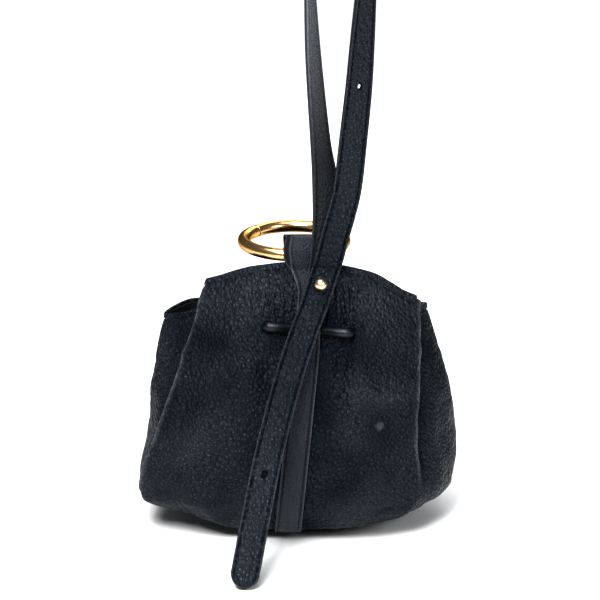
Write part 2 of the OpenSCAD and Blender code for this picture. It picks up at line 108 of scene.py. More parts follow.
def fold_lines(v, table=TABLE):
    """Every fold's place at each height fraction in v, as an array of v, fold, (x, y, z)."""
    v = np.asarray(v, float)
    seg = np.clip(np.searchsorted(LEVELS, v, side="right") - 1, 0, 4)
    lo = np.maximum(np.arange(6) - 1, 0)
    hi = np.minimum(np.arange(6) + 1, 5)
    slope = (table[hi] - table[lo]) / (LEVELS[hi] - LEVELS[lo])[:, None, None]
    h = (LEVELS[seg + 1] - LEVELS[seg])[:, None, None]
    t = (v[:, None, None] - LEVELS[seg][:, None, None]) / h
    xy = hermite(table[seg], table[seg + 1], h * slope[seg], h * slope[seg + 1], t)
    z = BASE_Z + v[:, None] * (TOP_Z - BASE_Z)
    return np.concatenate([xy, z[:, :, None]], axis=2)


TUCK = 3.2
KNOT_STEP = 0.14
VALLEY_SIDE = {2: 1, 8: -1, 12: 1, 18: -1}


def sharpen(lines, v):
    """Adds a line close on each side of every crease. The one towards the valley is tucked in."""
    knots = []
    columns = []
    for k in range(FOLDS):
        if k in CREASES:
            start = 0.08 if k > BACK_SEAM else 0.2
            tuck = TUCK * ease(np.asarray(v, float), start, start + 0.27)
            for step in (-KNOT_STEP, 0, KNOT_STEP):
                side = 1 if step > 0 else -1
                column = lines[:, k] + abs(step) * (lines[:, (k + side) % FOLDS] - lines[:, k])
                if step and side == VALLEY_SIDE[k]:
                    column[:, 1] += tuck * (1 if k in (2, 18) else -1)
                knots.append(k + step)
                columns.append(column)
        else:
            knots.append(k)
            columns.append(lines[:, k])
    return np.array(knots, float), np.stack(columns, axis=1)


def skin(u, v, sharp=True):
    """Outer surface at every pair of fold positions u and height fractions v."""
    u = np.asarray(u, float) % FOLDS
    lines = fold_lines(v)
    knots, columns = sharpen(lines, v) if sharp else (np.arange(FOLDS, dtype=float), lines)
    n = len(knots)
    seg = np.clip(np.searchsorted(knots, u, side="right") - 1, 0, n - 1)
    nxt = (seg + 1) % n
    gap = (knots[nxt] - knots[seg]) % FOLDS

    def slope(k):
        before = (k - 1) % n
        after = (k + 1) % n
        span = (knots[after] - knots[before]) % FOLDS
        return (columns[:, after] - columns[:, before]) / span[None, :, None]

    t = ((u - knots[seg]) / gap)[None, :, None]
    width = gap[None, :, None]
    return hermite(columns[:, seg], columns[:, nxt], width * slope(seg), width * slope(nxt), t)


def normals(grid):
    """Unit normals of a grid of points, outward where columns run anticlockwise and rows go up."""
    across = np.gradient(grid, axis=1)
    along = np.gradient(grid, axis=0)
    n = np.cross(across, along)
    return n / np.maximum(np.linalg.norm(n, axis=2, keepdims=True), 1e-9)


def skin_points(us, vs, lift):
    """Points lift millimetres off the surface, one for each pair in us and vs (equal shapes)."""
    out = np.zeros(us.shape + (3,))
    for i in np.ndindex(us.shape):
        e = 0.02
        u = us[i]
        v = vs[i]
        patch = skin([u - e, u, u + e], [max(v - e, 0), v, min(v + e, 1)], sharp=False)
        n = np.cross(patch[1, 2] - patch[1, 0], patch[2, 1] - patch[0, 1])
        out[i] = patch[1, 1] + lift[i] * n / np.linalg.norm(n)
    return out


# ---------------------------------------------------------------- materials
class Look:
    """A procedural material, built a node at a time."""

    def __init__(self, name):
        self.material = bpy.data.materials.new(name)
        self.material.use_nodes = True
        self.tree = self.material.node_tree
        self.shader = self.tree.nodes["Principled BSDF"]

    def feed(self, socket, source):
        """Links source to a socket, or sets the socket where source is a number, vector or colour."""
        if isinstance(source, bpy.types.NodeSocket):
            self.tree.links.new(source, socket)
        else:
            socket.default_value = source

    def add(self, kind, *sources, **settings):
        """A node with its settings, its first sockets fed from sources."""
        node = self.tree.nodes.new(kind)
        for key, value in settings.items():
            setattr(node, key, value)
        for socket, source in zip(node.inputs, sources):
            self.feed(socket, source)
        return node

    def texture(self, kind, where, sockets, **settings):
        """A texture read at where, its sockets set by name."""
        node = self.add(kind, **settings)
        for key, value in sockets.items():
            self.feed(node.inputs[key], value)
        self.feed(node.inputs["Vector"], where)
        return node

    def layer(self, name):
        """A layer of numbers that the mesh carries."""
        return self.add("ShaderNodeAttribute", attribute_name=name).outputs["Fac"]

    def place(self):
        """The point in the object's own frame, in metres."""
        return self.add("ShaderNodeTexCoord").outputs["Object"]

    def maths(self, operation, *sources):
        return self.add("ShaderNodeMath", *sources, operation=operation).outputs[0]

    def vector_maths(self, operation, *sources, output="Vector"):
        return self.add("ShaderNodeVectorMath", *sources, operation=operation).outputs[output]

    def mapped(self, source, low, high, to_low=0.0, to_high=1.0, smooth=True):
        """source mapped from low..high to to_low..to_high."""
        way = "SMOOTHSTEP" if smooth else "LINEAR"
        node = self.add("ShaderNodeMapRange", source, low, high, to_low, to_high, interpolation_type=way)
        return node.outputs[0]

    def blend(self, amount, first, second, how="MIX"):
        """The colour amount of the way from first to second, each a colour or a socket."""
        node = self.add("ShaderNodeMix", data_type="RGBA", blend_type=how)
        for index, source in ((0, amount), (6, first), (7, second)):
            self.feed(node.inputs[index], (*source, 1) if isinstance(source, (tuple, list)) else source)
        return node.outputs[2]

    def bump(self, height, strength, distance):
        node = self.add("ShaderNodeBump")
        for key, value in (("Strength", strength), ("Distance", distance), ("Height", height)):
            self.feed(node.inputs[key], value)
        self.surface("Normal", node.outputs[0])

    def surface(self, name, source):
        self.feed(self.shader.inputs[name], source)


def scaled(colour, factor):
    """A darker or lighter colour."""
    return [c * factor for c in colour]


def leather(name, dark, light, cell=2.35, depth=1.0, roughness=(0.40, 0.58), scuffs=()):
    """Pebbled leather: rounded cells, finer wrinkles, and a colour that lightens on the high spots."""
    look = Look(name)
    where = look.add("ShaderNodeAttribute", attribute_name="grain").outputs["Vector"]
    warp = look.texture("ShaderNodeTexNoise", where, {"Scale": 0.09, "Detail": 2})
    shifted = look.vector_maths("MULTIPLY_ADD", warp.outputs["Color"], (3.0, 3.0, 3.0), where)
    pebbles = {"Scale": 1 / cell, "Randomness": 0.95}
    cells = look.texture("ShaderNodeTexVoronoi", shifted, pebbles, feature="DISTANCE_TO_EDGE")
    soft = {**pebbles, "Smoothness": 0.25}
    domes = look.texture("ShaderNodeTexVoronoi", shifted, soft, feature="SMOOTH_F1")
    fine = look.texture("ShaderNodeTexNoise", shifted, {"Scale": 1.3 / cell, "Detail": 2}).outputs["Fac"]
    broad = look.texture("ShaderNodeTexNoise", where, {"Scale": 0.045, "Detail": 5}).outputs["Fac"]
    pebble = look.mapped(cells.outputs["Distance"], 0.0, 0.36)
    squared = look.maths("POWER", domes.outputs["Distance"], 2)
    wrinkles = look.mapped(fine, 0.0, 1.0, 0.0, 0.45, smooth=False)
    rounded = look.maths("MULTIPLY_ADD", squared, -1.9, wrinkles)
    height = look.maths("MULTIPLY_ADD", pebble, 0.45, rounded)
    look.bump(look.maths("MULTIPLY", height, look.mapped(broad, 0.3, 0.7, 0.55, 1.0)), depth, 0.0009)
    raised = look.mapped(pebble, 0.0, 1.0, 0.45, 0.75)
    tone = look.maths("MULTIPLY", raised, look.mapped(broad, 0.25, 0.75, 0.5, 1.0))
    # Pale grey mixed in from the wear layer: painted highlights along creases and edges and painted light on
    # the strap's back, with real rubbed wear on the creases.
    colour = look.blend(look.layer("wear_and_highlight"), look.blend(tone, dark, light), WEAR_AND_HIGHLIGHT_GREY)
    flat = look.vector_maths("MULTIPLY", look.place(), (1, 0.1, 1))
    for centre, radius, strength in scuffs:
        away = look.vector_maths("DISTANCE", flat, centre, output="Value")
        colour = look.blend(look.mapped(away, radius, radius * 0.3, 0.0, strength), colour, SCUFFED)
    look.surface("Base Color", colour)
    look.surface("Roughness", look.mapped(pebble, 0.0, 1.0, roughness[1], roughness[0]))
    # Painted sheen and shade: the per-point specular level lights some patches and darkens creases and
    # grooves.
    look.surface("Specular IOR Level", look.mapped(look.layer("painted_sheen"), 0.0, 1.0, 0.02, 0.75, smooth=False))
    look.surface("Specular Tint", (0.78, 0.88, 1, 1))
    return look.material


def smooth_leather(name, dark, light, roughness=0.42, depth=0.12):
    """Smooth calf leather: faint pores and creases."""
    return leather(name, dark, light, cell=0.7, depth=depth, roughness=(roughness, roughness + 0.12))


def metal(name, colour, roughness, streaks=0.02):
    """Polished metal with faint handling marks."""
    look = Look(name)
    marks = look.texture("ShaderNodeTexNoise", look.place(), {"Scale": 260, "Detail": 6}).outputs["Fac"]
    look.surface("Roughness", look.mapped(marks, 0.3, 0.8, roughness, roughness + streaks))
    look.surface("Base Color", look.blend(marks, colour, scaled(colour, 0.9)))
    look.surface("Metallic", 1)
    look.surface("Specular Tint", (*scaled(colour, 0.62), 1))
    return look.material


def twill(name, dark, light):
    """Lining cloth with a fine diagonal twill."""
    look = Look(name)
    threads = {"Scale": 420, "Distortion": 0.6}
    weave = look.texture("ShaderNodeTexWave", look.place(), threads, bands_direction="DIAGONAL")
    lines = weave.outputs["Fac"]
    look.surface("Base Color", look.blend(lines, dark, light))
    look.bump(lines, 0.4, 0.0002)
    look.surface("Roughness", 0.85)
    return look.material


# Pale grey for real rubbed wear and for painted highlights on creases, edges and the strap's back.
WEAR_AND_HIGHLIGHT_GREY = (0.12, 0.125, 0.14)
SCUFFED = (0.16, 0.17, 0.19)
NAVY_DARK = (0.002, 0.003, 0.004)
NAVY_LIGHT = (0.006, 0.010, 0.018)
SCUFFS = (((0.0446, -0.0045, 0.065), 0.0030, 0.26), ((0.0505, -0.0045, 0.0785), 0.0018, 0.14),
          ((0.0545, -0.0045, 0.0790), 0.0016, 0.10), ((0.0600, -0.0045, 0.0785), 0.0017, 0.12))
grained = leather("pebbled_leather", NAVY_DARK, NAVY_LIGHT, scuffs=SCUFFS)
strap_grain = leather("strap_grain", NAVY_DARK, NAVY_LIGHT, cell=2.1, depth=0.9, roughness=(0.41, 0.6))
strip_leather = leather("strip_leather", (0.007, 0.008, 0.011), (0.020, 0.022, 0.028), cell=1.3, depth=0.4,
                        roughness=(0.42, 0.58))
facing_leather = smooth_leather("facing_leather", (0.005, 0.006, 0.008), (0.012, 0.014, 0.018), 0.5)
dull_leather = leather("strap_back", (0.008, 0.009, 0.011), (0.022, 0.023, 0.026), cell=1.6, depth=0.7,
                       roughness=(0.5, 0.68))
lace_leather = smooth_leather("lace_leather", (0.002, 0.002, 0.003), (0.006, 0.006, 0.007), 0.3)
edge_paint = smooth_leather("edge_paint", (0.004, 0.004, 0.006), (0.010, 0.011, 0.014), 0.38)
gold = metal("gold", (0.74, 0.50, 0.25), 0.23)
pale_gold = metal("pale_gold", (0.76, 0.62, 0.43), 0.3)
steel = metal("steel", (0.6, 0.6, 0.6), 0.3)
lining_cloth = twill("lining_cloth", (0.012, 0.012, 0.014), (0.03, 0.03, 0.033))
board_card = twill("board_card", (0.12, 0.09, 0.06), (0.2, 0.15, 0.1))


# ---------------------------------------------------------------- mesh helpers
def rungs(edges, counts):
    """Rising numbers from edges[0] on, each stretch between two edges with its own count."""
    stretches = [np.linspace(a, b, n) for a, b, n in zip(edges, edges[1:], counts)]
    return np.concatenate(stretches[:1] + [stretch[1:] for stretch in stretches[1:]])


def open_holes(points, faces, holes, wall=1.8):
    """Opens round holes (centre, axis, radius) in a dense grid and gives each a wall."""
    spread = 9.0  # distance from the hole's axis where points stop moving
    start = 0.65  # share of the hole's radius inside which faces are dropped
    source = np.arange(len(points))
    for centre, axis, radius in holes:
        rel = points - centre
        along = rel @ axis
        flat = rel - along[:, None] * axis
        r = np.linalg.norm(flat, axis=1)
        near = (r < spread) & (np.abs(along) < 6)
        inside = near & (r < radius * start)
        gone = inside[faces].all(axis=1)
        edges = np.concatenate([faces[gone][:, [i, (i + 1) % 4]] for i in range(4)])
        known = {tuple(e) for e in edges.tolist()}
        border = np.array([e for e in edges.tolist() if (e[1], e[0]) not in known])
        rim = np.unique(border)
        away = radius + (r - radius * start) * (spread - radius) / (spread - radius * start)
        away[rim] = radius
        move = near & (~inside | np.isin(np.arange(len(points)), rim))
        points = points.copy()
        points[move] += flat[move] * (away[move] / r[move] - 1)[:, None]
        painted_crease_shade = points[rim] - wall * axis
        at = len(points) + np.searchsorted(rim, border)
        walls = np.stack([border[:, 0], border[:, 1], at[:, 1], at[:, 0]], axis=1)
        faces = np.concatenate([faces[~gone], walls])
        points = np.concatenate([points, painted_crease_shade])
        source = np.concatenate([source, source[rim]])
    used = np.unique(faces)
    return points[used], np.searchsorted(used, faces), source[used]


def leather_layers(mesh, grain, wear_and_highlight, painted_sheen):
    """The layers the leather materials read: each point's place in the grain, its wear with painted
    highlight, and its painted sheen and shade.
    """
    attribute = mesh.attributes.new("grain", "FLOAT_VECTOR", "POINT")
    attribute.data.foreach_set("vector", grain.ravel())
    for key, amount in (("wear_and_highlight", wear_and_highlight), ("painted_sheen", painted_sheen)):
        layer = mesh.attributes.new(key, "FLOAT", "POINT")
        layer.data.foreach_set("value", amount)


def grid_object(name, grid, mat, closed=False, wear_and_highlight=None, grain=None, holes=(), painted_sheen=None):
    """A quad mesh from an array of rows, columns, (x, y, z) in millimetres."""
    rows, cols = grid.shape[:2]
    wrap = cols if closed else cols - 1
    r = np.arange(rows - 1)[:, None]
    c = np.arange(wrap)[None, :]
    d = (c + 1) % cols
    faces = np.stack([r * cols + c, r * cols + d, (r + 1) * cols + d, (r + 1) * cols + c], axis=2)
    mesh = bpy.data.meshes.new(name)
    points, faces, source = open_holes(grid.reshape(-1, 3), faces.reshape(-1, 4), holes)
    mesh.from_pydata((points * MM).tolist(), [], faces.tolist())
    mesh.materials.append(mat)
    mesh.polygons.foreach_set("use_smooth", [True] * len(mesh.polygons))
    coords = points if grain is None else grain.reshape(-1, 3)[source]
    # Wear with painted highlight, and painted sheen and shade, for each point; 0.4 sheen where none is
    # given.
    wear_and_highlight_values = np.zeros(len(points)) if wear_and_highlight is None else wear_and_highlight.ravel()[source]
    painted_shine = np.full(len(points), 0.4) if painted_sheen is None else painted_sheen.ravel()[source]
    leather_layers(mesh, coords, wear_and_highlight_values, painted_shine)
    obj = bpy.data.objects.new(name, mesh)
    bpy.context.collection.objects.link(obj)
    return obj


def thicken(obj, thickness, offset=-1.0, round_by=0.35, edge=None):
    """Gives a sheet its thickness, inward by default, and rounds its cut edges."""
    solid = obj.modifiers.new("thickness", "SOLIDIFY")
    solid.thickness = thickness * MM
    solid.offset = offset
    solid.use_even_offset = False
    if edge:
        obj.data.materials.append(edge)
        solid.material_offset_rim = 1
    bevel = obj.modifiers.new("rounding", "BEVEL")
    bevel.width = round_by * MM
    bevel.segments = 3
    bevel.limit_method = "ANGLE"
    bevel.angle_limit = math.radians(60)
    return obj


def bake_modifiers(obj):
    """Replaces the object's mesh with what its modifiers make of it."""
    graph = bpy.context.evaluated_depsgraph_get()
    mesh = bpy.data.meshes.new_from_object(obj.evaluated_get(graph))
    obj.modifiers.clear()
    obj.data = mesh


def punch(obj, centre, axis, radius, reach=8):
    """Cuts a round hole through a piece, centre and sizes in millimetres."""
    side = 32
    axis = np.array(axis) / np.linalg.norm(axis)
    a = np.cross(axis, [0.3, 0.2, 0.9])
    a /= np.linalg.norm(a)
    b = np.cross(axis, a)
    turn = np.linspace(0, 2 * math.pi, side, endpoint=False)
    circle = radius * (np.cos(turn)[:, None] * a + np.sin(turn)[:, None] * b)
    ends = [np.array(centre) + s * reach * axis + circle for s in (-1, 1)]
    points = np.concatenate(ends) * MM
    faces = [[i, (i + 1) % side, side + (i + 1) % side, side + i] for i in range(side)]
    faces += [list(range(side))[::-1], list(range(side, 2 * side))]
    mesh = bpy.data.meshes.new("punch")
    mesh.from_pydata(points.tolist(), [], faces)
    cutter = bpy.data.objects.new("punch", mesh)
    bpy.context.collection.objects.link(cutter)
    cut = obj.modifiers.new("hole", "BOOLEAN")
    cut.operation = "DIFFERENCE"
    cut.solver = "EXACT"
    cut.object = cutter
    bake_modifiers(obj)
    bpy.data.objects.remove(cutter)


def bell(x, centre, width):
    """A smooth bump, 1 at the centre."""
    return np.exp(-(((x - centre) / width) ** 2))


def rumple(points, size, seed, octaves=3):
    """Smooth noise of about -1..1 at each point; size is its length in millimetres."""
    flat = points.reshape(-1, 3)
    shift = Vector((seed * 17.3, seed * 5.1, seed * 9.7))
    values = [noise.fractal(Vector(p) / size + shift, 1.0, 2.0, octaves) for p in flat.tolist()]
    return np.array(values).reshape(points.shape[:2])


# ---------------------------------------------------------------- body leather
def strip_line(z):
    """x of the seam at height z."""
    return np.interp(z, [0, 30, 67, 105, 150], [-5, -3, 1, 5, 9])


def relief(grid, v):
    """How far the leather stands off its smooth outline, in millimetres."""
    x, y, z = grid[..., 0], grid[..., 1], grid[..., 2]
    front = ease(-y, -4, 6)
    seam = 1 - bell(x - strip_line(z), 0, 10)
    lift = (1.6 * rumple(grid, 38, 1) + 0.7 * rumple(grid, 17, 4)) * seam
    lift += 0.35 * rumple(grid, 9, 2) * seam
    # gathers beside the lace holes
    lift += front * 1.3 * bell(x, 24, 8) * bell(z, 127, 15) * np.cos((x - 22) * 1.3 + 0.6 * np.sin(z / 7))
    lift += front * 1.0 * bell(x, -13, 8) * bell(z, 127, 12) * np.cos((x + 13) * 1.2 + 0.5 * np.sin(z / 6))
    # hollows hanging down from the holes
    lift -= front * 3.6 * bell(x - (z - 105) * 0.12, 25, 4) * bell(z, 96, 14)
    lift += front * 1.6 * bell(x - (z - 105) * 0.12, 34, 6) * bell(z, 96, 16)
    lift -= front * 2.6 * bell(x + (z - 105) * 0.25, -18, 6) * bell(z, 92, 15)
    lift += front * 1.2 * bell(x + (z - 105) * 0.25, -31, 6) * bell(z, 92, 16)
    # a roll across the right panel with a hollow under it, and one slanting over the left
    lift += front * 2.0 * bell(z + 0.15 * (x - 40), 82, 6) * bell(x, 40, 18)
    lift -= front * 1.6 * bell(z + 0.15 * (x - 40), 70, 6) * bell(x, 38, 18)
    lift += front * 1.5 * bell(z - 0.45 * (x + 45), 62, 7) * bell(x, -42, 20)
    lift -= front * 1.3 * bell(z - 0.45 * (x + 45), 48, 6) * bell(x, -44, 20)
    # slack rolls low on the left and a crease low on the right
    lift += front * 1.3 * bell(z - (x + 70) * 0.25, 17, 4.5) * bell(x, -72, 18)
    lift -= front * 1.0 * bell(z - (x + 70) * 0.25, 25, 3) * bell(x, -70, 15)
    lift -= front * 1.0 * bell(z + (x - 50) * 0.1, 18, 2) * bell(x, 50, 13)
    lift += front * 0.8 * bell(z + (x - 50) * 0.1, 22, 3) * bell(x, 50, 14)
    # pressed line just under the cut edge of the mouth
    below = (1 - v) * (TOP_Z.mean() - BASE_Z)
    lift = lift * ease(v, 0.0, 0.06)
    lift += 0.3 * ease(-below, -2.6, -2.2)
    lift -= 0.5 * bell(below, 3.2, 0.6)
    return lift


def evened(rows, reach=9):
    """Unit vectors averaged with their neighbours along a row."""
    wide = np.pad(rows, ((reach, reach), (0, 0)), mode="edge")
    mean = sum(wide[i:i + len(rows)] for i in range(2 * reach + 1))
    return mean / np.linalg.norm(mean, axis=1, keepdims=True)


def lift_off(x):
    """How far the leather's lower edge hangs clear of the floor at each x."""
    return 5.5 * ease(-x, 32, 74) + 5.5 * ease(x, 26, 72)


def body_half(name, first):
    """One leather half, from the seam line under the base up to the mouth."""
    us = first + np.linspace(0, BACK_SEAM, 401)
    creases = [c for c in CREASES if first < c < first + BACK_SEAM]
    extra = np.concatenate([c + np.linspace(-0.2, 0.2, 33) for c in creases])
    us = np.unique(np.round(np.concatenate([us, extra]), 4))
    vs = rungs((0, 0.1, 0.9, 1), (21, 121, 41))
    wall = skin(us, vs)
    v = np.repeat(vs[:, None], len(us), axis=1)
    wall = wall + normals(wall) * relief(wall, v)[..., None]
    wall[..., 2] += lift_off(wall[..., 0]) * (1 - ease(v, 0, 0.22))
    under = []
    for share in (1, 0.75, 0.5, 0.25):
        row = wall[0].copy()
        row[:, 0] += share * (SEAM[0][0] - row[:, 0])
        row[:, 2] = BASE_Z + lift_off(row[:, 0])
        under.append(row)
    out = evened(normals(wall)[-1])
    up = evened(wall[-1] - wall[-2])
    half = LEATHER / 2
    rim = []
    for a in np.linspace(0, math.pi, 7)[1:]:
        rim.append(wall[-1] - out * half * (1 - math.cos(a)) + up * 0.7 * half * math.sin(a))
    back = wall[-2:-40:-3] - normals(wall)[-2:-40:-3] * LEATHER
    grid = np.concatenate([np.array(under), wall, np.array(rim), back])
    height = np.concatenate([np.zeros((4, len(us))), v, np.ones((6 + len(back), len(us)))])
    # Pale line along each crease: painted highlight on the crease's edge, broken up like rubbed wear.
    near_crease = np.max([bell(us, c, 0.045) for c in creases], axis=0)[None, :]
    broken = 0.5 + 0.5 * rumple(grid, 6, 5, 2)
    low = 0.08 if first else 0.2
    near_crease = near_crease * ease(height, low, low + 0.15)
    wear_and_highlight = near_crease * broken * 0.7
    # Painted shade in the valley behind each crease.
    painted_crease_shade = np.zeros(height.shape)
    for c in creases:
        behind = (us - c) * VALLEY_SIDE[c % FOLDS]
        fold = ease(behind, 0.02, 0.12) * (1 - ease(behind, 0.5, 1.5))
        painted_crease_shade = np.maximum(painted_crease_shade, fold[None, :] * ease(height, 0.1, 0.35))
    x, z = grid[..., 0], grid[..., 2]
    # Painted sheen and shade: brighter towards the mouth, low down, on the creases and on two rolls of the
    # panels, darker beside the seam strip and in the valleys, with random patches.
    painted_sheen = 0.24 + 0.24 * ease(z, 106, 134) + 0.2 * rumple(grid, 26, 8, 3)
    painted_sheen += 0.3 * near_crease + 0.25 * bell(z - 0.45 * (x + 50), 58, 16) * bell(x, -48, 24)
    painted_sheen += 0.3 * bell(x, 42, 22) * bell(z + 0.15 * (x - 40), 83, 9) + 0.15 * bell(z, 22, 12)
    painted_sheen -= 0.14 * bell(x - strip_line(z), 0, 22) * (1 - ease(z, 118, 134))
    painted_sheen = np.clip(painted_sheen, 0, 1) * (1 - 0.95 * painted_crease_shade)
    grain = grid.copy()
    grain[..., 2] = z * (1.25 - 0.0016 * z) + (0.3 if first else -0.15) * x
    holes = []
    for hole_u, hole_v in HOLES[name]:
        patch = skin([hole_u - 0.02, hole_u, hole_u + 0.02], [hole_v - 0.01, hole_v, hole_v + 0.01])
        axis = np.cross(patch[1, 2] - patch[1, 0], patch[2, 1] - patch[0, 1])
        holes.append((patch[1, 1], axis / np.linalg.norm(axis), LACE_HOLE_R))
    return grid_object(name, grid, grained, wear_and_highlight=wear_and_highlight, grain=grain, holes=holes, painted_sheen=painted_sheen)


LACE_HOLE_R = 3.2
HOLES = {"body_left": [[19.344, 0.784], [10.85, 0.85]], "body_right": [[0.678, 0.775], [9.28, 0.85]]}
body_left = body_half("body_left", BACK_SEAM)
body_right = body_half("body_right", 0)
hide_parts("shell_left")
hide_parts("shell_right")


# ---------------------------------------------------------------- strips and tab
SLACK = 0.25
STRIP_T = 1.3
LACE_D = 5.4
STRIP_HALF = 7
FRONT_LACE_Z = 115
BACK_LACE_Z = 111
# Tab above the front strip: [middle x, half width, y, z, way it faces], 0 forwards and 90 up
TAB = [[7.8, 8.4, -22.8, 139.5, 24], [6.3, 9.2, -20.4, 144.5, 10], [3.7, 10.3, -20.8, 150, 0],
       [2.8, 10.2, -20.8, 157, 0], [3.1, 9.4, -18.4, 161.4, 45], [3.0, 9.2, -13, 163, 90],
       [2.2, 9.6, -7, 161.4, 135], [2.2, 9.6, -4.2, 157, 180], [2.4, 9.4, -4.2, 151, 188],
       [4, 9, -7, 145.4, 220], [7, 8.4, -12.4, 140, 230], [10, 7.6, -16.4, 131, 204]]


def open_curve(rows, cuts):
    """Smooth curve through a list of rows of numbers, cuts steps from one to the next."""
    rows = np.array(rows, float)
    n = len(rows) - 1
    slopes = np.array([(rows[min(i + 1, n)] - rows[max(i - 1, 0)]) / 2 for i in range(n + 1)])
    out = []
    for i in range(n):
        out += [hermite(rows[i], rows[i + 1], slopes[i], slopes[i + 1], j / cuts) for j in range(cuts)]
    return np.array(out + [rows[-1]])


HALF_ACROSS = np.array([0.12, 0.24, 0.36, 0.48, 0.58, 0.65, 0.70, 0.74, 0.78, 0.82, 0.87, 0.92, 0.96, 1])
ACROSS = np.concatenate([-HALF_ACROSS[::-1], [0], HALF_ACROSS])


def strip_relief(s):
    """Pressed line along each edge of a strip, s from -1 to 1."""
    return -0.6 * bell(np.abs(s), 0.76, 0.06) + 0.15 * bell(s, 0, 0.5)


def over_lace(z, lace_z):
    """How far a strip rises to pass over the lace."""
    return (LACE_D + 1.0) * bell(z, lace_z, 6.5)


def band(seam, vs, lace_z, half):
    """Rows of points of a strip that lies on the leather along a seam."""
    rows = []
    for v in vs:
        a = skin([seam], [v], sharp=False)[0, 0]
        sides = [np.linalg.norm((skin([seam + k], [v], sharp=False)[0, 0] - a)[:2]) for k in (-1, 1)]
        us = np.array([seam + s * half / (sides[0] if s < 0 else sides[1]) for s in ACROSS])
        lift = SLACK + STRIP_T + over_lace(a[2], lace_z) + strip_relief(ACROSS)
        rows.append(skin_points(us, np.full(us.shape, v), lift))
    return np.array(rows)


def centre_strip():
    """Front strip over the seam and the lace, with its tab over the ring and down inside."""
    vs = rungs((0.02, 0.1, 0.68, 0.9), (12, 50, 36))
    lower = band(0, vs, FRONT_LACE_Z, STRIP_HALF)
    tab = open_curve([[p[0], p[1], p[2], p[3], math.radians(p[4])] for p in TAB], 8)
    upper = []
    for x, half, y, z, turn in tab:
        out = np.array([0, -math.cos(turn), math.sin(turn)])
        upper.append([np.array([x + s * half, y, z]) + 0.3 * strip_relief(s) * out for s in ACROSS])
    grid = np.concatenate([lower, np.array(upper)])
    # Painted highlight lines along the strip's edges and along the pressed fold on the tab's left side.
    fold = -1 + 0.34 * ease(grid[:, 0, 2], 142, 151)
    wear_and_highlight = 0.3 * bell(np.abs(ACROSS), 0.97, 0.04) + 0.55 * bell(ACROSS, fold[:, None], 0.035)
    wear_and_highlight[:len(lower)] = 0.3 * bell(np.abs(ACROSS), 0.97, 0.04)
    # Painted sheen and shade: darker in the pressed lines and on the tab's left side, brighter near the
    # bottom.
    painted_sheen = 0.5 - 0.45 * bell(np.abs(ACROSS), 0.76, 0.07) + 0.25 * bell(grid[..., 2], 8, 22)
    painted_sheen -= 0.5 * ease(-ACROSS, 0.5, 0.62) * ease(grid[..., 2], 144, 149)
    obj = grid_object("centre_strip_leather", grid, strip_leather, wear_and_highlight=wear_and_highlight, painted_sheen=painted_sheen)
    thicken(obj, STRIP_T, edge=edge_paint)
    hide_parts("centre_strip")
    return obj


def back_strip():
    """Back strip over the seam and the lace."""
    vs = rungs((0.02, 0.1, 0.75, 0.98), (12, 50, 36))
    obj = grid_object("back_strip_leather", band(BACK_SEAM, vs, BACK_LACE_Z, STRIP_HALF), strip_leather)
    thicken(obj, STRIP_T, edge=edge_paint)
    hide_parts("back_strip")
    return obj


front_strip = centre_strip()
rear_strip = back_strip()


# ---------------------------------------------------------------- inside
FACING_T = 0.8
LINING_INSET = 3.4
POCKET_INSET = 5.8
BOARD_ROOM = 2.6


def mouth_facing():
    """Band of smooth leather round the inside of the mouth."""
    us = np.linspace(0, FOLDS, 601)[:-1]
    vs = np.linspace(0.87, 0.994, 20)
    grid = skin(us, vs)
    lines = grid - normals(grid) * (LEATHER + 0.2)
    obj = grid_object("mouth_facing_leather", lines, facing_leather, closed=True)
    thicken(obj, FACING_T)
    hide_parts("mouth_facing")
    return obj


def loose_skin(us, vs, inset):
    """The lining's outline: the bag without its creases, moved inward by inset."""
    lines = fold_lines(vs)
    for k in CREASES:
        lines[:, k] = (lines[:, k - 1] + lines[:, k + 1]) / 2
    wide = np.concatenate([lines[:, -2:], lines, lines[:, :3]], axis=1)
    k = np.floor(us).astype(int)
    t = (us - k)[None, :, None]
    a, b, c, d = [wide[:, k + 1 + i] for i in range(4)]
    grid = hermite(b, c, (c - a) / 2, (d - b) / 2, t)
    return grid - normals(grid) * inset


def lining():
    """Cloth bag that hangs loose inside the leather, with its floor on the base board."""
    us = np.linspace(0, FOLDS, 401)[:-1]
    vs = np.linspace(0.05, 0.9, 70)
    wall = loose_skin(us, vs, LINING_INSET)
    wall = wall - normals(wall) * (0.5 + 0.5 * rumple(wall, 14, 7))[..., None]
    edge = loose_skin(us, np.array([0.0, 0.01]), LINING_INSET)[0]
    floor_z = BASE_Z + LEATHER + BOARD_ROOM
    floor = np.array([np.concatenate([edge[:, :2] * s, np.full((len(us), 1), floor_z)], axis=1)
                      for s in (0.02, 0.3, 0.6, 0.85, 1)])
    obj = grid_object("lining_bag", np.concatenate([floor, wall]), lining_cloth, closed=True)
    thicken(obj, 0.7)
    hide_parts("lining")
    return obj


def slip_pocket():
    """Flat cloth pocket on the lining's back."""
    us = np.linspace(9.35, 10.65, 41)
    vs = np.linspace(0.36, 0.74, 30)
    grid = loose_skin(us, vs, POCKET_INSET)
    obj = grid_object("slip_pocket_cloth", grid, lining_cloth)
    thicken(obj, 0.8)
    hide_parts("slip_pocket")
    return obj


facing = mouth_facing()
cloth_bag = lining()
pocket = slip_pocket()


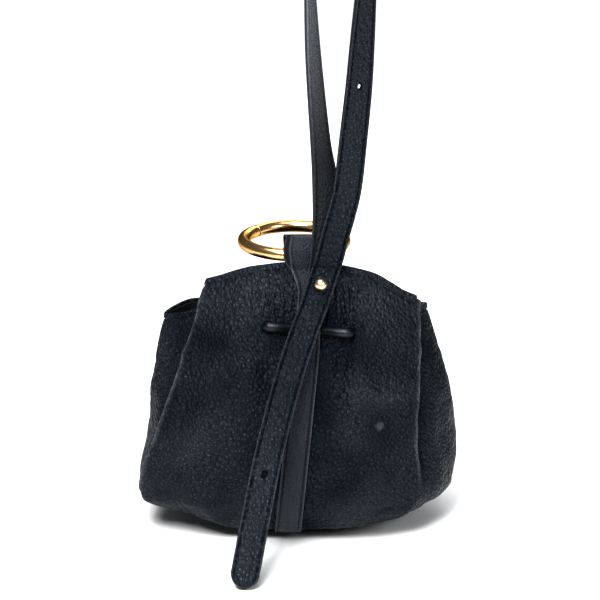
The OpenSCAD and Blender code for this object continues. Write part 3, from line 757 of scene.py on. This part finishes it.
# ---------------------------------------------------------------- lace
# The closed loop's route: out through the front holes, round inside and out at the back
LACE = [[-12.8, -35, 117.2], [-4, -34.8, 116.8], [6, -35, 116], [16, -35.6, 115.2], [23, -36.4, 114.6],
        [27.2, -36.6, 114.4], [28.3, -33.9, 113.2], [28.9, -29.2, 111.2], [31, -22, 110.2], [34, -12, 109.8],
        [36.4, 0, 109.4], [37, 12, 109], [35.6, 22, 108.8], [33, 31, 108.8], [30.4, 38, 109],
        [30.4, 43.3, 110.3], [29, 46, 111], [25, 46.4, 111.2], [16, 46.2, 111.2], [7, 45.9, 111.2],
        [0, 46, 111.2], [-5, 47, 111.3], [-9.4, 47.7, 111.3], [-14, 46.9, 111.3], [-19.4, 45.2, 111.4],
        [-21.1, 41.8, 110.7], [-20.8, 36.6, 109.4], [-23, 29, 109.4], [-25.6, 20, 109.8], [-27, 10, 110.2],
        [-26.6, -1, 110.8], [-24, -12, 111.6], [-20, -21, 112.6], [-17.8, -26.8, 114.2],
        [-16.3, -31.9, 116.2], [-15.4, -34.4, 117.3]]


def lace():
    """Round folded leather lace, with the fine seam of its fold running along it."""
    closed = np.array(LACE[-2:] + LACE + LACE[:3], float)
    cuts = 10
    path = []
    for i in range(2, len(LACE) + 2):
        m0 = (closed[i + 1] - closed[i - 1]) / 2
        m1 = (closed[i + 2] - closed[i]) / 2
        path += [hermite(closed[i], closed[i + 1], m0, m1, j / cuts) for j in range(cuts)]
    path = np.array(path)
    way = np.roll(path, -1, axis=0) - np.roll(path, 1, axis=0)
    way /= np.linalg.norm(way, axis=1, keepdims=True)
    out = np.cross(way, [0, 0, 1])
    out /= np.linalg.norm(out, axis=1, keepdims=True)
    up = np.cross(out, way)
    turn = np.linspace(0, 2 * math.pi, 29)[:-1]
    radius = LACE_D / 2 * (1 - 0.07 * bell(turn, 5.2, 0.18))
    side = np.cos(turn)[None, :, None] * out[:, None] + np.sin(turn)[None, :, None] * up[:, None]
    grid = path[:, None] + radius[None, :, None] * side
    grid = np.concatenate([grid, grid[:1]])
    x = grid[..., 0]
    # Painted highlight and shade on the lace's front run: bright where it bends into the holes, dark beside
    # the strap.
    painted_sheen = np.where(grid[..., 1] < -30, 0.08 + 0.7 * bell(x, -14.5, 3.5) + 0.7 * bell(x, 25, 4), 0.4)
    obj = grid_object("lace_leather_loop", grid, lace_leather, closed=True, painted_sheen=painted_sheen)
    weld = obj.modifiers.new("join", "WELD")
    weld.merge_threshold = 0.00001
    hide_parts("lace")
    return obj


drawstring = lace()


# ---------------------------------------------------------------- strap
STRAP_W = 15
LAYER = 1.2
# Routes of the loop and the tail: [x, y, z, turn about the vertical], 0 facing forwards
LOOP = [[15.4, -25, 146.4, 0], [16.8, -26, 151, 0], [18.4, -26.8, 157, 0], [20.6, -26.8, 166, 0],
        [24.2, -26.4, 179, 2], [27.2, -25.8, 193, 5], [30, -24.8, 219, 14], [32.7, -24.2, 246, 25],
        [35, -23.8, 280, 41], [36.6, -23.5, 304, 54], [38, -23.4, 326, 74], [38, -23.4, 346, 90],
        [33.3, -23.4, 357.3, 90], [22, -23.4, 362, 90], [10.7, -23.4, 357.3, 90], [6, -23.4, 346, 90],
        [6, -23.4, 326, 84], [6.6, -23.4, 302, 76], [8.6, -23.2, 262, 64], [12.4, -22.8, 217, 52],
        [14.6, -23, 198, 36], [15.8, -23.6, 178, 18], [15.6, -24, 166, 6], [14.8, -24, 155, 0],
        [14.3, -23.5, 150.2, 0], [13.8, -22.4, 146.2, 0]]
TAIL = [[-27.7, -119.6, 1.8, 0], [-26.4, -115, 8.6, 0], [-22, -101, 29, 0], [-15.6, -82, 57, 0],
        [-9.4, -67.4, 79, 0], [-2.6, -53.4, 100, 0], [3.6, -43.6, 116.4, 0], [6.9, -37.4, 123.4, 0],
        [9.5, -32.2, 129.3, 0]]
stud_at = np.array(joints["strap_swing"]["pos_m"]) / MM
stud_out = np.array(joints["strap_swing"]["axis"])
stud_tilt = math.asin(stud_out[2])
END_Z = 2.2
STRAP_Z = END_Z + 2 * LAYER + 0.2


def at_stud(lean, along, off):
    """A point on a strap lying on the stud: along it from the button hole, off the leather."""
    lean = math.radians(lean)
    rise = math.cos(lean)
    up = np.array([math.sin(lean), rise * math.sin(stud_tilt), rise * math.cos(stud_tilt)])
    return stud_at + up * along + stud_out * off


FRONT_LEAN = 18
END_LEAN = 8
front_mid = STRAP_Z + LAYER
end_mid = END_Z + LAYER
front_up = [[*at_stud(FRONT_LEAN, a, front_mid), 0] for a in (0, 4)]
front_down = [[*at_stud(FRONT_LEAN, a, front_mid), 0] for a in (-5, 0)]
end_down = [[*at_stud(END_LEAN, a, end_mid), 0] for a in (4, 0, -5, -9)]


def strap_sheet(name, route, half_widths, low, high, face, mat, cuts=14):
    """One strap layer along a route, from low to high off its middle, as a rounded sheet."""
    route = open_curve(route, cuts)
    at = route[:, :3]
    turn = np.radians(route[:, 3])
    way = np.gradient(at, axis=0)
    way /= np.linalg.norm(way, axis=1, keepdims=True)
    flat = np.stack([np.cos(turn), np.sin(turn), np.zeros(len(turn))], axis=1)
    across = flat - (flat * way).sum(1, keepdims=True) * way
    across /= np.linalg.norm(across, axis=1, keepdims=True)
    out = np.cross(across, way)
    reach = np.concatenate([[0], np.cumsum(np.linalg.norm(np.diff(at, axis=0), axis=1))])
    half = half_widths(reach)
    s = ACROSS
    groove = -0.6 * bell(np.abs(s), 0.76, 0.06) - 0.2 * ease(np.abs(s), 0.92, 1.0)
    groove = groove[None, :] * ease(half / (STRAP_W / 2), 0.55, 1)[:, None]
    lift = (high + groove) if face > 0 else (low - groove)
    rows = at[:, None] + half[:, None, None] * s[None, :, None] * across[:, None]
    rows = rows + lift[..., None] * out[:, None]
    places = np.broadcast_arrays(s[None, :] * STRAP_W / 2, reach[:, None] * 0.8, np.zeros((1, 1)))
    grain = np.stack(places, axis=2)
    if face < 0:
        rows = rows[:, ::-1]
    # Painted highlight lines along the strap's edges.
    wear_and_highlight = np.broadcast_to(0.24 * bell(np.abs(s), 0.97, 0.03), rows.shape[:2]).copy()
    # On the back layer, painted light: paler high up on the loop's inner run and towards one edge.
    if face < 0:
        painted_light_on_back = ease(at[:, 2], 190, 300) * ease(16 - at[:, 0], 0, 6)
        wear_and_highlight += painted_light_on_back[:, None] * (0.75 - 0.2 * s[None, ::-1])
    # Painted sheen and shade: on the grain side brighter at the tail's lower end and high on the loop; on
    # both sides darker in the pressed lines.
    painted_shine = 0.3
    if face > 0:
        painted_shine = 0.34 + 0.22 * (1 - ease(at[:, 2], 40, 95)) + 0.12 * ease(at[:, 2], 150, 200)
    painted_sheen = np.reshape(painted_shine, (-1, 1)) - 0.4 * np.broadcast_to(bell(np.abs(s), 0.76, 0.07), rows.shape[:2])
    obj = grid_object(name, rows, mat, wear_and_highlight=wear_and_highlight, grain=grain, painted_sheen=painted_sheen)
    thicken(obj, high - low, edge=edge_paint, round_by=0.3)
    return obj, at, out, reach


def round_start(reach):
    """Half widths of a strap with a round end, at each distance from it."""
    r = STRAP_W / 2
    return r * np.sqrt(np.clip(1 - (1 - np.clip(reach / r, 0.02, 1)) ** 2, 0.02, 1))


def round_finish(reach):
    """Half widths of a strap whose last end is round."""
    return round_start(reach[-1] - reach)


BUTTON_HOLE_R = 1.4
BUTTON_HOLE_AT = 110


def punch_at(obj, at, out, reach, distance):
    """Punches a button hole through a strap piece at a distance along its route."""
    i = int(np.argmin(np.abs(reach - distance)))
    punch(obj, at[i], out[i], BUTTON_HOLE_R, reach=5)


def blended(obj):
    """Bakes a strap piece's placement into its mesh."""
    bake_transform(obj)


loop_route = front_up + LOOP + end_down
for name, low, high, face, mat, node in (
        ("strap_loop_grain", 0, LAYER, 1, strap_grain, "strap_loop_outer"),
        ("strap_loop_back", -LAYER, 0, -1, dull_leather, "strap_loop_inner")):
    obj, at, out, reach = strap_sheet(name, loop_route, round_finish, low, high, face, mat)
    bake_modifiers(obj)
    punch_at(obj, at, out, reach, BUTTON_HOLE_AT)
    blended(obj)
    if face > 0:
        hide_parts(node, "strap_end")
    else:
        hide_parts(node)

tail_route = TAIL + front_down
for name, low, high, face, mat, node in (
        ("strap_tail_grain", 0, LAYER, 1, strap_grain, ("strap_tail_outer", "strap_stud_outer")),
        ("strap_tail_back", -LAYER, 0, -1, dull_leather, ("strap_tail_inner", "strap_stud_inner"))):
    obj, at, out, reach = strap_sheet(name, tail_route, round_start, low, high, face, mat)
    bake_modifiers(obj)
    punch_at(obj, at, out, reach, reach[-1] - BUTTON_HOLE_AT)
    blended(obj)
    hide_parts(*node)


# ---------------------------------------------------------------- ring
RING_R = 27.75
TUBE_R = 3.45
RING_TILT = math.radians(3.2)
HINGE = math.radians(39)
GATE_END_X = -21.6
GATE_END = math.acos(GATE_END_X / RING_R)
ring_pivot = np.array(joints["ring_swing"]["pos_m"]) / MM


def on_ring(points):
    """Points about the ring's middle, moved to where it sits in the tab, its back a little high."""
    local = points + [0, RING_R, 0]
    y = local[..., 1] * math.cos(RING_TILT) - local[..., 2] * math.sin(RING_TILT)
    z = local[..., 1] * math.sin(RING_TILT) + local[..., 2] * math.cos(RING_TILT)
    return ring_pivot + np.stack([local[..., 0], y, z], axis=-1)


# The tube's ends: flat where the gate closes, and a ball in a cup at its hinge
BALL_R = 3.4
CUP_R = 3.55
LIP = 1.5
FLAT_END = [(0, 0.01), (0, 0.92 * TUBE_R), (0.1, 0.98 * TUBE_R)]
BALL_END = [(-BALL_R * math.cos(a), BALL_R * math.sin(a)) for a in np.linspace(0.003, math.pi / 2, 12)]
CUP_END = [(CUP_R * math.cos(a), CUP_R * math.sin(a)) for a in np.linspace(0.003, math.acos(LIP / CUP_R), 9)]
CUP_END += [(LIP + 0.02, 0.97 * TUBE_R), (LIP + 0.12, 0.995 * TUBE_R)]


def ring_part(name, start, end, first, last, mat):
    """Part of the ring's tube between two angles, each end given as (distance in, radius) pairs."""
    gap = 0.14 / RING_R
    angles = np.linspace(start + 3 * gap, end - 3 * gap - last[-1][0] / RING_R, 158)
    turn = np.concatenate([[start + gap + d / RING_R for d, r in first], angles,
                           [end - gap - d / RING_R for d, r in last[::-1]]])
    size = np.concatenate([[r for d, r in first], np.full(158, TUBE_R), [r for d, r in last[::-1]]])
    around = np.linspace(0, 2 * math.pi, 41)[:-1]
    reach = RING_R + size[:, None] * np.cos(around)[None, :]
    grid = np.stack([reach * np.cos(turn)[:, None], reach * np.sin(turn)[:, None],
                     size[:, None] * np.sin(around)[None, :]], axis=-1)
    return grid_object(name, on_ring(grid)[:, ::-1], mat, closed=True)


def barrel(name, radius, low, high, mat):
    """Short round piece standing on the gate's hinge."""
    around = np.linspace(0, 2 * math.pi, 33)[:-1]
    soft = min(0.25, radius / 3)
    profile = [(0.01, low), (radius - soft, low), (radius, low + soft), (radius, high - soft),
               (radius - soft, high), (0.01, high)]
    grid = [[[RING_R * math.cos(HINGE) + r * math.cos(a), RING_R * math.sin(HINGE) + r * math.sin(a), z]
             for a in around] for r, z in profile]
    return grid_object(name, on_ring(np.array(grid)), mat, closed=True)


ring_tube = ring_part("ring_tube", GATE_END, HINGE + 2 * math.pi, FLAT_END, CUP_END, gold)
gate_tube = ring_part("gate_tube", HINGE, GATE_END, BALL_END, FLAT_END, gold)
hinge_pin = barrel("gate_hinge_pin", 1.0, -3.75, 3.75, pale_gold)
hinge_spring = barrel("gate_hinge_spring", 2.3, -0.6, 0.6, steel)
RING_PIECES = ((ring_tube, "ring", "ring"), (gate_tube, "gate", "ring_gate"),
               (hinge_pin, "ring", "gate_pin"), (hinge_spring, "ring", "gate_spring"))
for piece, body, node in RING_PIECES:
    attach(piece, body)
    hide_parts(node)


# ---------------------------------------------------------------- CAD nodes that stay
NODE_LOOKS = {"stud": pale_gold,
              "stud_washer": pale_gold, "stud_screw": pale_gold, "base_patch": strip_leather,
              "base_board": board_card, "lace_knot": lace_leather, "hole_patches": facing_leather}
for node, mat in NODE_LOOKS.items():
    obj = frame["nodes"][node]
    for slot in obj.material_slots:
        slot.material = mat
    if mat in (strip_leather, lace_leather, facing_leather):  # these read the leather layers
        count = len(obj.data.vertices)
        places = np.zeros(count * 3)
        obj.data.vertices.foreach_get("co", places)
        leather_layers(obj.data, places / MM, np.zeros(count), np.full(count, 0.4))
    obj.data.polygons.foreach_set("use_smooth", [True] * len(obj.data.polygons))

SLOTS = {"leather": (body_left, body_right), "smooth_leather": (front_strip, rear_strip, facing),
         "lining": (cloth_bag, pocket), "lace": (drawstring,)}
for slot, pieces in SLOTS.items():
    for piece in pieces:
        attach(piece, "bag")


# ---------------------------------------------------------------- stage
LIGHTS = (("key", (-0.35, -1.1, 1.25), 32, 0.6), ("fill", (0.95, -0.9, 0.75), 9, 0.4),
          ("rim", (0.3, 1.1, 1.0), 8, 0.8))


def stage():
    """Pale seamless floor with painted shade far in front, soft lights and a dim studio around them."""
    look = Look("sweep")
    clouds = look.texture("ShaderNodeTexNoise", look.place(), {"Scale": 3}).outputs["Fac"]
    pale = look.blend(clouds, (0.93, 0.93, 0.93), (0.96, 0.96, 0.96))
    ahead = look.add("ShaderNodeSeparateXYZ", look.place()).outputs["Y"]
    # Painted shade: the floor darkens far in front, standing in for the dim studio that the metal and
    # leather reflect.
    painted_dark_floor_ahead = look.mapped(ahead, -1.3, -0.55, 0.6, 1.0)
    look.surface("Base Color", look.blend(1, pale, painted_dark_floor_ahead, how="MULTIPLY"))
    look.surface("Roughness", 0.9)
    size = 4.0
    mesh = bpy.data.meshes.new("floor")
    corners = [(-size, -size, 0), (size, -size, 0), (size, size, 0), (-size, size, 0)]
    mesh.from_pydata(corners, [], [(0, 1, 2, 3)])
    mesh.materials.append(look.material)
    floor = bpy.data.objects.new("floor", mesh)
    bpy.context.collection.objects.link(floor)
    world = bpy.data.worlds.new("studio")
    bpy.context.scene.world = world
    world.use_nodes = True
    world.node_tree.nodes["Background"].inputs["Color"].default_value = (0.93, 0.96, 1, 1)
    world.node_tree.nodes["Background"].inputs["Strength"].default_value = 0.2
    sun = bpy.data.lights.new("overhead", "SUN")
    sun.energy = 2.7
    sun.angle = math.radians(50)
    lamp = bpy.data.objects.new("overhead", sun)
    lamp.rotation_euler = (math.radians(12), math.radians(-8), 0)
    bpy.context.collection.objects.link(lamp)
    for name, place, power, width in LIGHTS:
        light = bpy.data.lights.new(name, "AREA")
        light.energy = power
        light.size = width
        lamp = bpy.data.objects.new(name, light)
        lamp.location = place
        lamp.rotation_euler = (Vector((0, 0, 0.1)) - Vector(place)).to_track_quat("-Z", "Y").to_euler()
        bpy.context.collection.objects.link(lamp)


def camera():
    """Camera in front of the bag, looking down on it by a few degrees."""
    distance = 1.3
    seen = 0.33
    elevation = math.radians(15)
    target = Vector((0.00165, 0, 0.123))
    data = bpy.data.cameras.new("camera")
    data.sensor_width = 36
    data.lens = 36 * distance / seen
    cam = bpy.data.objects.new("camera", data)
    cam.location = target + distance * Vector((0, -math.cos(elevation), math.sin(elevation)))
    cam.rotation_euler = (target - cam.location).to_track_quat("-Z", "Y").to_euler()
    bpy.context.collection.objects.link(cam)
    bpy.context.scene.camera = cam


stage()
camera()
bpy.context.scene.view_settings.view_transform = "Standard"
bpy.context.scene.view_settings.gamma = 0.8
